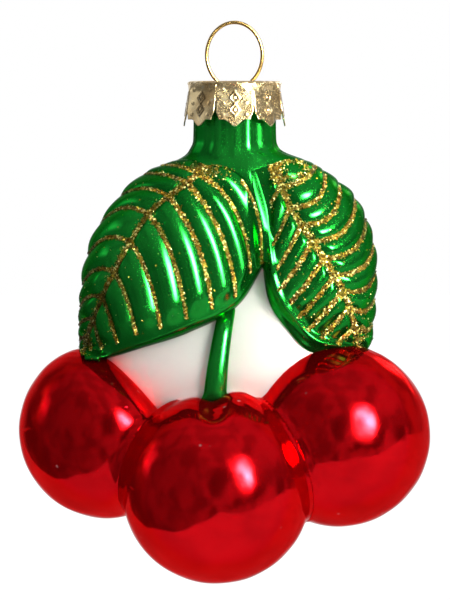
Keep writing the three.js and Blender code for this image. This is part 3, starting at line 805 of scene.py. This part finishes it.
def make_cherry(name, neighbours):
    """A blown cherry that is cut off where it meets its neighbours. The middle one has a cleft and a
    lobe at its top, and the left one is drawn in towards the leaves."""
    centre, radius = CHERRIES[name]
    bm = bmesh.new()
    bmesh.ops.create_uvsphere(bm, u_segments=192, v_segments=120, radius=radius)
    bmesh.ops.rotate(bm, verts=bm.verts, cent=(0, 0, 0), matrix=Matrix.Rotation(math.radians(90), 3, "X"))
    points = np.array([v.co for v in bm.verts])
    unit = points / radius
    if name == "centre_cherry":
        near_top = smooth_step(0.66, 0.97, unit[:, 2])
        valley = np.exp(-(((unit[:, 0] - CLEFT_X) / CLEFT_WIDTH) ** 2)) * near_top
        lobe_axis = np.array(LOBE_AXIS) / np.linalg.norm(LOBE_AXIS)
        angle = np.arccos(np.clip(unit @ lobe_axis, -1, 1))
        points[:, 2] += LOBE_RISE * np.exp(-((angle / LOBE_WIDTH) ** 2)) - CLEFT_DEPTH * valley
    if name == "left_cherry":
        axis = np.array(SHOULDER_AXIS) / np.linalg.norm(SHOULDER_AXIS)
        towards = np.maximum(points @ axis, 0)
        points -= (SHOULDER_DRAW * towards**2 / radius)[:, None] * axis
    points += unit * lumps(points + np.array(centre), unit[:, 2])[:, None]
    points = webbed(points + np.array(centre), np.array(centre), unit, neighbours)
    move_verts(bm, points)
    for other in neighbours:
        far, far_radius = CHERRIES[other]
        direction = (far - centre).normalized()
        distance = (far - centre).length
        to_joint = (distance**2 + radius**2 - far_radius**2) / (2 * distance)
        bmesh.ops.bisect_plane(bm, geom=list(bm.verts) + list(bm.edges) + list(bm.faces), dist=1e-4,
                               plane_co=centre + direction * (to_joint + 0.12), plane_no=direction,
                               clear_outer=True)
    new_piece(f"lacquered_{name}", bm, name, RED, "glass", GLASS_WALL)


def make_stem():
    """The middle cherry's stem, which lies on the body and dives into it at its top."""
    bm = round_rod(28, 24)
    foot, bend, top = STEM_LINE
    for vert in bm.verts:
        t = vert.co.z + 0.5
        x, z = [(1 - t) ** 2 * f + 2 * t * (1 - t) * b + t * t * e for f, b, e in zip(foot, bend, top)]
        flare = 0.7 * max(0, 1 - t / 0.12) ** 2
        half = STEM_FOOT_HALF_WIDTH + (STEM_TOP_HALF_WIDTH - STEM_FOOT_HALF_WIDTH) * t + flare
        dive = 2.6 * max(0, (t - 0.72) / 0.28) ** 2
        depth = float(body_depth(x, z)) + 0.3 + STEM_HALF_DEPTH - dive
        vert.co = (x + vert.co.x * half, vert.co.y * STEM_HALF_DEPTH - depth, z)
    new_piece("lacquered_stem", bm, "centre_stem", GREEN, "glass")


def make_leaf(leaf, facing, name, node):
    """Half a leaf, in front of the mould seam for a facing of 1 and behind it for -1."""
    bm = bmesh.new()
    bmesh.ops.create_grid(bm, x_segments=110, y_segments=170, size=0.5)
    co = np.array([v.co for v in bm.verts])
    along = 0.5 - co[:, 1]
    v = co[:, 0] * 2
    across = np.where(v < 0, -(1 - (1 - np.abs(v)) ** 1.8), v)
    points, outward = leaf_point(leaf, along, across, rib_height(leaf, along, across), facing)
    move_verts(bm, points)
    face_outward(bm, outward)
    bmesh.ops.dissolve_degenerate(bm, dist=0.03, edges=bm.edges)
    new_piece(name, bm, node, GREEN, "glass", LEAF_WALL)


def flake_template():
    """A tiny flat flake: a low double pyramid on four corners."""
    bm = bmesh.new()
    bmesh.ops.create_cone(bm, cap_ends=False, segments=4, radius1=1, radius2=0, depth=1)
    ring = [v for v in bm.verts if v.co.z < 0]
    low = bmesh.ops.extrude_edge_only(bm, edges=[e for e in bm.edges if e.is_boundary])
    fresh = [g for g in low["geom"] if isinstance(g, bmesh.types.BMVert)]
    bmesh.ops.translate(bm, verts=fresh, vec=(0, 0, -1))
    bmesh.ops.pointmerge(bm, verts=fresh, merge_co=(0, 0, -1.5))
    bmesh.ops.translate(bm, verts=bm.verts, vec=(0, 0, 0.5))
    bmesh.ops.recalc_face_normals(bm, faces=bm.faces)
    mesh = bpy.data.meshes.new("flake")
    bm.to_mesh(mesh)
    bm.free()
    return mesh


def glitter_lines(leaf):
    """The glued lines: each takes a share of its length and an offset to its side, both as arrays, and
    gives along and across; then the line's length in mm."""

    def on_midrib(share, off):
        t = 0.01 + 0.92 * share
        wide = np.maximum(vein_length(leaf, t, np.where(off < 0, -1.0, 1.0)), 1.0)
        return t, off * 1.25 / wide

    def on_vein(fixed, sign, start, end):
        def line(share, off):
            t = start + share * (end - start)
            thick = np.interp(share, [0, 0.25, 1], [1.3, 1.0, 0.8])
            spacing = np.maximum(vein_spacing(leaf, 0 * t + fixed, sign * t), 0.8)
            thick = np.minimum(thick, 0.5 * spacing / leaf["glitter"])
            return np.clip(fixed + off * thick / spacing / RIB_COUNT, 0.0, 0.995), sign * t
        return line

    lines = [on_midrib]
    for i in range(RIB_COUNT):
        if i:
            inner_length = float(vein_length(leaf, np.array([i / RIB_COUNT]), np.array([1.0]))[0])
            bare_end = leaf["rim"] + chance.uniform(0.1, 0.5) * (1 if leaf["side"] < 0 else 2)
            lines.append(on_vein(i / RIB_COUNT, 1.0, 0, max(1 - bare_end / inner_length, 0.5)))
            lines.append(on_vein(i / RIB_COUNT, -1.0, 0, chance.uniform(0.93, 0.99)))
        else:
            lines.append(on_vein(0.014, 1.0, *((0.4, 0.97) if leaf["side"] < 0 else (0, 0.3))))
    measured = []
    for line in lines:
        share = np.linspace(0, 1, 50)
        x, z = leaf_flat(leaf, *line(share, 0 * share))
        measured.append((line, float(np.sum(np.hypot(np.diff(x), np.diff(z))))))
    return measured


def add_glue_bed(bm, leaf, facing, line, length):
    """A low bead of glue under the flakes of one line, buried at its ends and sides."""
    bead = round_rod(8, max(int(length * 3), 6))
    co = np.array([v.co for v in bead.verts])
    share = co[:, 2] + 0.5
    ragged = 0.84 + 0.16 * np.sin(share * length * 3.1) + 0.16 * np.sin(share * length * 7.3 + 1)
    along, across = line(share, co[:, 0] * leaf["glitter"] * ragged)
    height = rib_height(leaf, along, across) + GLUE_HEIGHT * co[:, 1] * ragged
    points, _ = leaf_point(leaf, along, across, height, facing)
    move_verts(bead, points)
    bmesh.ops.recalc_face_normals(bead, faces=bead.faces)
    add_mesh(bm, bead)


def make_glitter(leaf, facing, name, node):
    """Gold flakes glued along the veins, heaped in the middle of each line, with rings and a few strays."""
    bm = bmesh.new()
    per_mm = FLAKES_PER_MM
    along, across, heap = [], [], []
    for line, length in glitter_lines(leaf):
        add_glue_bed(bm, leaf, facing, line, length)
        count = int(length * per_mm)
        off = np.clip(chance.normal(0, 0.6, count), -1.6, 1.6)
        a, c = line(chance.uniform(0, 1, count), off * leaf["glitter"])
        along.append(a)
        across.append(c)
        heap.append(0.24 * np.sqrt(np.clip(1 - off**2, 0, 1)) * chance.uniform(0.5, 1.4, count))
    for middle_along, middle_across, spread, count in ((0.03, 0.0, 0.03, 420), (0.97, 0.0, 0.03, 120)):
        along.append(np.clip(chance.normal(middle_along, spread, count), 0, 0.995))
        across.append(np.clip(chance.normal(middle_across, 0.12, count), -1, 0.9))
        heap.append(chance.uniform(0, 0.5, count))
    for middle_x, middle_z, wide, high in leaf["rings"]:
        count = int(RING_FLAKES * (wide + high))
        angle = chance.uniform(0, 2 * math.pi, count)
        width = 1 + chance.normal(0, 0.16, count)
        a, c = leaf_place(leaf, middle_x + wide * width * np.cos(angle),
                          middle_z + high * width * np.sin(angle))
        along.append(a)
        across.append(c)
        heap.append(chance.uniform(0, 0.3, count))
    along.append(chance.uniform(0, 0.98, STRAYS))
    across.append(chance.uniform(-0.95, 0.9, STRAYS))
    heap.append(np.zeros(STRAYS))
    along, across, heap = np.concatenate(along), np.concatenate(across), np.concatenate(heap)
    points, outward = leaf_point(leaf, along, across, rib_height(leaf, along, across) + 0.03 + heap, facing)
    bed_verts = len(bm.verts)
    template = flake_template()
    for _ in points:
        bm.from_mesh(template)
    shape = np.array([v.co for v in template.vertices]) * (1, 1, FLAKE_FLATNESS)
    bpy.data.meshes.remove(template)
    tilt = outward + chance.normal(0, 0.5, outward.shape)
    tilt /= np.linalg.norm(tilt, axis=1, keepdims=True)
    side = np.cross(tilt, chance.normal(0, 1, outward.shape))
    side /= np.linalg.norm(side, axis=1, keepdims=True)
    turn = np.stack([side, np.cross(tilt, side), tilt], 1)
    size = chance.uniform(*FLAKE_SIZES, len(points))[:, None, None]
    placed = (shape[None] @ turn * size + points[:, None, :]).reshape(-1, 3)
    bm.verts.ensure_lookup_table()
    for index, point in enumerate(placed):
        bm.verts[bed_verts + index].co = point
    piece = new_piece(name, bm, node, GLITTER, "glass")
    for polygon in piece.data.polygons:
        polygon.use_smooth = False


make_wire()
make_cap()
make_neck()
make_body()
make_stem()
for face, facing in (("front", 1), ("back", -1)):
    make_leaf(LEFT_LEAF, facing, f"ribbed_left_leaf_{face}", f"left_leaf_{face}")
    make_leaf(RIGHT_LEAF, facing, f"ribbed_right_leaf_{face}", f"right_leaf_{face}")
    make_glitter(LEFT_LEAF, facing, f"glitter_lines_left_{face}", f"left_glitter_{face}")
    make_glitter(RIGHT_LEAF, facing, f"glitter_lines_right_{face}", f"right_glitter_{face}")
make_cherry("left_cherry", ["centre_cherry"])
make_cherry("right_cherry", ["centre_cherry"])
make_cherry("centre_cherry", ["left_cherry", "right_cherry"])


# Studio

STUDIO_CENTRE = Vector((-0.0017, 0, -0.0496))
FLOOR = -0.125
TABLE_EDGE = 0.105
TABLE_SLOPE = 1.35


def stage_material(name, base, own_light):
    """Pale paint that takes a soft shadow, with a light of its own for the camera and for reflections.
    Reflections see nothing of it past the ragged edge of the table."""
    finish = Finish(name, Base_Color=(base, base, base, 1), Roughness=0.9)
    x, y = (finish.axis(finish.place(), name) for name in "XY")
    ragged = finish.noise(30.0) * 0.02
    table = (y + x.clamp(-1, 0) * TABLE_SLOPE + TABLE_EDGE + ragged).step(0.01, 0.014)
    mottle = finish.noise(24.0, 3.0).step(0.35, 0.7)
    mirrored = finish.ray("Glossy")
    glow = finish.glow(1.1 - mirrored * (0.12 + mottle * 0.24))
    seen = (finish.ray("Camera") + mirrored + finish.ray("Transmission")).clamp(0, 1) * own_light
    paint = Value(finish, finish.shader.outputs[0])
    finish.show(finish.blend(mirrored * (1 - table), finish.blend(seen, paint, glow), None))
    return finish.material


def glow_material(name, strength, edge, core_boost=0, tint=(1, 1, 1, 1)):
    """A softbox face: bright in the middle and fading to its edges, from the card's own coordinates."""
    finish = Finish(name)
    place = finish.place("UV")
    u, v = (finish.axis(place, name) for name in "XY")
    soft = u.step(0, edge) * (1 - u.step(1 - edge, 1)) * v.step(0, edge) * (1 - v.step(1 - edge, 1))
    cloud = finish.noise(3.5, 3.0, place)
    core = soft.step(0.25, 0.6) * core_boost
    glow = finish.glow(soft * strength * (0.15 + cloud.step(0.3, 0.65)) * (1 + core), tint)
    finish.show(finish.blend(soft, None, glow))
    return finish.material


def add_card(name, corners, material, only_reflected=True):
    """A flat stage piece through corners in metres, listed round it."""
    bm = bmesh.new()
    bmesh.ops.create_grid(bm, x_segments=1, y_segments=1, size=0.5)
    uv_layer = bm.loops.layers.uv.new("UVMap")
    for face in bm.faces:
        for loop in face.loops:
            loop[uv_layer].uv = (loop.vert.co.x + 0.5, loop.vert.co.y + 0.5)
    places = {(-1, -1): corners[0], (1, -1): corners[1], (1, 1): corners[2], (-1, 1): corners[3]}
    for vert in bm.verts:
        vert.co = places[(round(2 * vert.co.x), round(2 * vert.co.y))]
    mesh = bpy.data.meshes.new(name)
    bm.to_mesh(mesh)
    bm.free()
    mesh.materials.append(material)
    card = bpy.data.objects.new(name, mesh)
    bpy.context.scene.collection.objects.link(card)
    if only_reflected:
        card.visible_camera = False
        card.visible_diffuse = False
        card.visible_shadow = False


def facing_card(name, azimuth, elevation, distance, width, height, material):
    """A card seen only in reflections, turned to the ornament; azimuth 0 is the front, 90 the right."""
    a, e = math.radians(azimuth), math.radians(elevation)
    out = Vector((math.sin(a) * math.cos(e), -math.cos(a) * math.cos(e), math.sin(e)))
    side = Vector((math.cos(a), math.sin(a), 0)) * width / 2
    up = out.cross(Vector((math.cos(a), math.sin(a), 0))).normalized() * height / 2
    up = up if up.z > 0 else -up
    middle = STUDIO_CENTRE + out * distance
    corners = [middle - side - up, middle + side - up, middle + side + up, middle - side + up]
    add_card(name, corners, material)


def add_lamp(name, size, location, watts):
    """A soft light that is not itself seen in the mirrors."""
    light = bpy.data.lights.new(name, "AREA")
    light.shape = "RECTANGLE"
    light.size, light.size_y = size
    light.energy = watts
    lamp = bpy.data.objects.new(name, light)
    lamp.location = location
    lamp.rotation_mode = "QUATERNION"
    lamp.rotation_quaternion = (STUDIO_CENTRE - Vector(location)).to_track_quat("-Z", "Y")
    lamp.visible_glossy = False
    bpy.context.scene.collection.objects.link(lamp)


def make_world():
    """White to the camera, and to reflections a pale backdrop behind and a dim room in front."""
    world = bpy.data.worlds.new("studio")
    bpy.context.scene.world = world
    world.use_nodes = True
    studio = Graph(world.node_tree)
    where = studio.place("Generated")
    side, back, up = (studio.axis(where, name) for name in "XYZ")
    stretch = studio.node("ShaderNodeMapping", sockets={"Vector": where, "Scale": (1, 1, 0.7)})
    blot = studio.noise(3.2, 2.0, stretch)
    low_shapes = blot.step(0.52, 0.6) * (1 - (up - side * 0.1).step(-0.18, 0.12)) * side.step(-0.4, 0.3)
    room = 0.45 - blot.step(0.4, 0.62) * 0.29 - low_shapes * 0.14 + up.step(0.35, 1.0) * 0.22
    room = room * (0.5 + side.step(-0.9, 0.1) * 0.5 + side.step(0.5, 1.0) * 0.3)
    behind = back.step(0.62, 0.86)
    seen = room * (1 - behind) + behind * 0.95
    camera = studio.ray("Camera")
    diffuse = studio.ray("Diffuse")
    background = studio.tree.nodes["Background"]
    background.inputs["Color"].default_value = (1, 1, 1, 1)
    studio.link(seen * (1 - camera) * (1 - diffuse) + camera + diffuse * 0.42, background.inputs["Strength"])


make_world()
pale_floor = stage_material("pale_floor", 0.85, 0.88)
add_card("floor", [(-3, -3, FLOOR), (3, -3, FLOOR), (3, 3, FLOOR), (-3, 3, FLOOR)], pale_floor, False)
window = glow_material("window_light", 36.0, 0.5, 4.0, (1, 0.98, 0.85, 1))
facing_card("window", 36, 17, 0.9, 0.8, 1.05, window)
facing_card("side_window", -104, 20, 0.9, 0.9, 0.9, glow_material("side_window_light", 1.7, 0.5))
facing_card("back_window", 150, 25, 0.9, 0.5, 0.6, glow_material("back_window_light", 8.0, 0.4))
dark_shape = glow_material("dark_shape", 0.03, 0.45)
facing_card("dark_panel", 1, 6, 0.5, 0.24, 0.42, dark_shape)
facing_card("low_dark_shape", 52, -3, 0.5, 0.24, 0.2, dark_shape)
facing_card("far_dark_shape", 82, -1, 0.5, 0.24, 0.2, dark_shape)
add_lamp("key", (0.35, 0.45), (0.42, -0.62, 0.22), 3.6)
add_lamp("fill", (0.5, 0.5), (-0.7, -0.45, 0.2), 0.6)
add_lamp("top", (0.5, 0.4), (0.1, 0.15, 0.7), 2.0)

# Camera: all but level with the ornament's middle, a long lens, and a frame 108 mm high there
FRAME_HEIGHT = 0.108
DISTANCE = 1.2
ELEVATION = math.radians(1.5)
camera = bpy.data.cameras.new("camera")
camera.lens = camera.sensor_width * DISTANCE / FRAME_HEIGHT
viewer = bpy.data.objects.new("camera", camera)
viewer.location = STUDIO_CENTRE + Vector((0, -math.cos(ELEVATION), math.sin(ELEVATION))) * DISTANCE
viewer.rotation_mode = "QUATERNION"
viewer.rotation_quaternion = (STUDIO_CENTRE - viewer.location).to_track_quat("-Z", "Y")
bpy.context.scene.collection.objects.link(viewer)
bpy.context.scene.camera = viewer
bpy.context.scene.view_settings.view_transform = "Standard"
